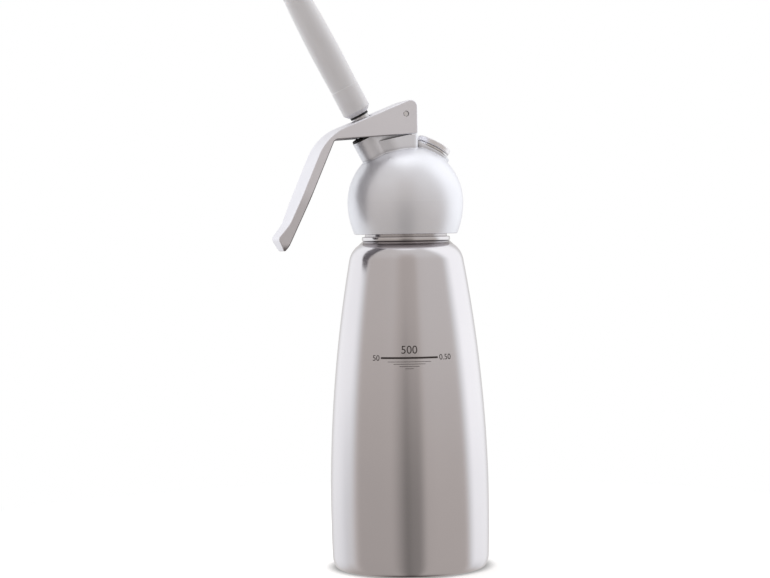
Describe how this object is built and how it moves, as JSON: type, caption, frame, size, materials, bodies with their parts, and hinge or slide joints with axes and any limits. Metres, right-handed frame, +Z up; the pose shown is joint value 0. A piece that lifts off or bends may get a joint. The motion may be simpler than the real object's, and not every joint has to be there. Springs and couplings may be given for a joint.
{
  "type": "cream whipper",
  "caption": "Hand-held cream whipper: tapered steel bottle, screw-on ball-shaped head, sprung lever over a valve, long plastic nozzle and a capped gas inlet.",
  "frame": {"origin": "centre of the bottle's foot, on the surface that it stands on", "axes": "+Z up along the bottle's axis, the lever and the nozzle towards -X, the gas inlet towards +X"},
  "size_m": [0.1105, 0.0822, 0.303],
  "materials": {
    "bottle_steel": "fine brushed",
    "head_aluminium": "satin",
    "lever_aluminium": "satin",
    "machined_steel": "turned",
    "spring_steel": "drawn",
    "cap_steel": "satin",
    "nozzle_plastic": "moulded satin",
    "guide_plastic": "turned acetal",
    "black_rubber": "moulded",
    "seal_rubber": "moulded silicone"
  },
  "bodies": {
    "bottle": {"bottle_shell": "bottle_steel", "neck_ring": "bottle_steel"},
    "head_seal": {"head_gasket": "seal_rubber"},
    "head": {"head_dome": "head_aluminium", "hinge_pin": "spring_steel", "stem_guide": "guide_plastic", "stem_oring": "black_rubber", "dust_ring": "black_rubber", "valve_spring": "spring_steel", "inlet_insert": "machined_steel", "inlet_seal": "black_rubber", "piercing_pin": "machined_steel", "check_valve": "seal_rubber"},
    "lever": {"lever": "lever_aluminium"},
    "valve": {"valve_stem": "machined_steel", "valve_seal": "seal_rubber", "valve_seal_screw": "machined_steel"},
    "nozzle_seal": {"nozzle_washer": "black_rubber"},
    "nozzle": {"nozzle": "nozzle_plastic"},
    "cap_seal": {"inlet_cap_gasket": "black_rubber"},
    "cap": {"inlet_cap": "cap_steel"}
  },
  "joints": [
    {"name": "head_rise", "type": "slide", "parent": "bottle", "child": "head_seal", "axis": [0, 0, 1], "range_m": [0, 0.0075]},
    {"name": "head_turn", "type": "hinge", "parent": "head_seal", "child": "head", "pos_m": [0, 0, 0.18898], "axis": [0, 0, 1], "range_deg": [0, 900]},
    {"name": "lever_squeeze", "type": "hinge", "parent": "head", "child": "lever", "pos_m": [-0.0025, 0, 0.23408], "axis": [0, -1, 0], "range_deg": [0, 8], "stiffness_Nm_per_rad": 1.5, "springref_deg": -8.59},
    {"name": "valve_press", "type": "slide", "parent": "head", "child": "valve", "axis": [0.4741, 0, -0.8805], "range_m": [0, 0.0027], "deforming": ["valve_spring"]},
    {"name": "nozzle_rise", "type": "slide", "parent": "valve", "child": "nozzle_seal", "axis": [-0.4741, 0, 0.8805], "range_m": [0, 0.006]},
    {"name": "nozzle_turn", "type": "hinge", "parent": "nozzle_seal", "child": "nozzle", "pos_m": [-0.02447, 0, 0.23443], "axis": [-0.4741, 0, 0.8805], "range_deg": [0, 1440]},
    {"name": "cap_rise", "type": "slide", "parent": "head", "child": "cap_seal", "axis": [0.4741, 0, 0.8805], "range_m": [0, 0.004]},
    {"name": "cap_turn", "type": "hinge", "parent": "cap_seal", "child": "cap", "pos_m": [0.01493, 0, 0.21671], "axis": [0.4741, 0, 0.8805], "range_deg": [0, 1440]}
  ],
  "couplings": [
    {"joint": "head_rise", "follows": "head_turn", "m_per_rad": 0.00047746},
    {"joint": "valve_press", "follows": "lever_squeeze", "m_per_rad": 0.01918},
    {"joint": "nozzle_rise", "follows": "nozzle_turn", "m_per_rad": 0.00023873},
    {"joint": "cap_rise", "follows": "cap_turn", "m_per_rad": 0.00015915}
  ]
}
